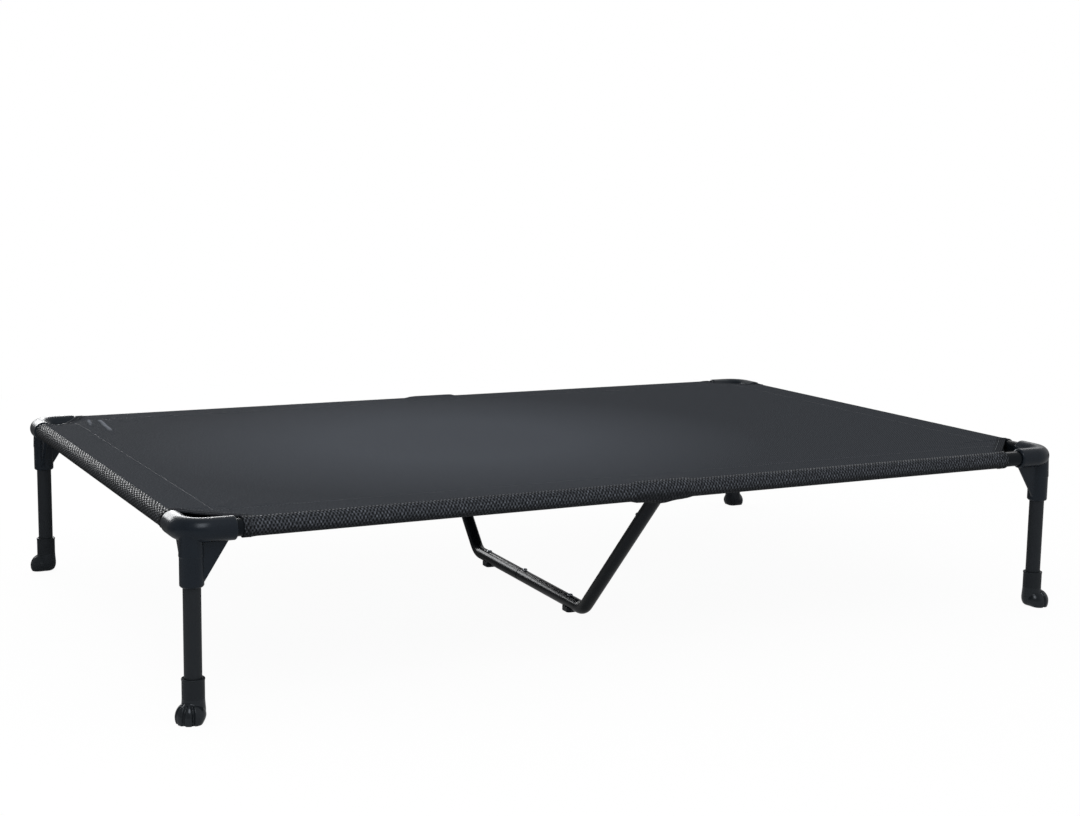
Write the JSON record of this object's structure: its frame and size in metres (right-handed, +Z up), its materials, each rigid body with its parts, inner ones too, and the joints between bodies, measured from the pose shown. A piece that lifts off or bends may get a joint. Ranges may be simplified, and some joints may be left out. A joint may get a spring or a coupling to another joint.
{
  "type": "raised dog cot",
  "caption": "Raised dog cot: stretched woven sling on a knock-down tube frame with moulded corner connectors, paw-shaped rubber feet and a bent centre support.",
  "frame": {"origin": "on the floor, under the middle of the cot", "axes": "+X along the long rails to the right, -Y the front long side, +Z up"},
  "size_m": [1.251, 0.801, 0.2275],
  "materials": {
    "corner_plastic": "glossy black moulding",
    "coated_tube": "satin black powder coat",
    "gloss_tube": "glossy black enamel",
    "rubber": "semi-matt black rubber",
    "plated_steel": "zinc plated",
    "sling_cloth": "charcoal woven mesh"
  },
  "bodies": {
    "frame": {"corner_front_left": "corner_plastic", "corner_front_right": "corner_plastic", "corner_rear_left": "corner_plastic", "corner_rear_right": "corner_plastic", "rail_front_left": "coated_tube", "rail_front_right": "coated_tube", "rail_rear_left": "coated_tube", "rail_rear_right": "coated_tube", "rail_left": "coated_tube", "rail_right": "coated_tube", "leg_front_left": "coated_tube", "leg_front_right": "coated_tube", "leg_rear_left": "coated_tube", "leg_rear_right": "coated_tube", "foot_front_left": "rubber", "foot_front_right": "rubber", "foot_rear_left": "rubber", "foot_rear_right": "rubber", "tee_front": "gloss_tube", "tee_rear": "gloss_tube", "support_front": "gloss_tube", "support_rear": "gloss_tube", "pad_front": "rubber", "pad_rear": "rubber", "pad_rivets": "plated_steel", "spring_front": "plated_steel", "spring_rear": "plated_steel", "spring_bar": "plated_steel", "sling": "sling_cloth"},
    "front_button": {"button_front": "plated_steel"},
    "rear_button": {"button_rear": "plated_steel"},
    "bar_button": {"button_bar": "plated_steel"}
  },
  "joints": [
    {"name": "front_button_press", "type": "slide", "parent": "frame", "child": "front_button", "axis": [0.0308, 0.6996, 0.7138], "range_m": [-0.0042, 0], "stiffness_N_per_m": 1500, "springref_m": 0.002, "deforming": ["spring_front"]},
    {"name": "rear_button_press", "type": "slide", "parent": "frame", "child": "rear_button", "axis": [-0.0308, -0.6996, 0.7138], "range_m": [-0.0042, 0], "stiffness_N_per_m": 1500, "springref_m": 0.002, "deforming": ["spring_rear"]},
    {"name": "bar_button_press", "type": "slide", "parent": "frame", "child": "bar_button", "axis": [0, 0, 1], "range_m": [-0.0042, 0], "stiffness_N_per_m": 1500, "springref_m": 0.002, "deforming": ["spring_bar"]}
  ]
}
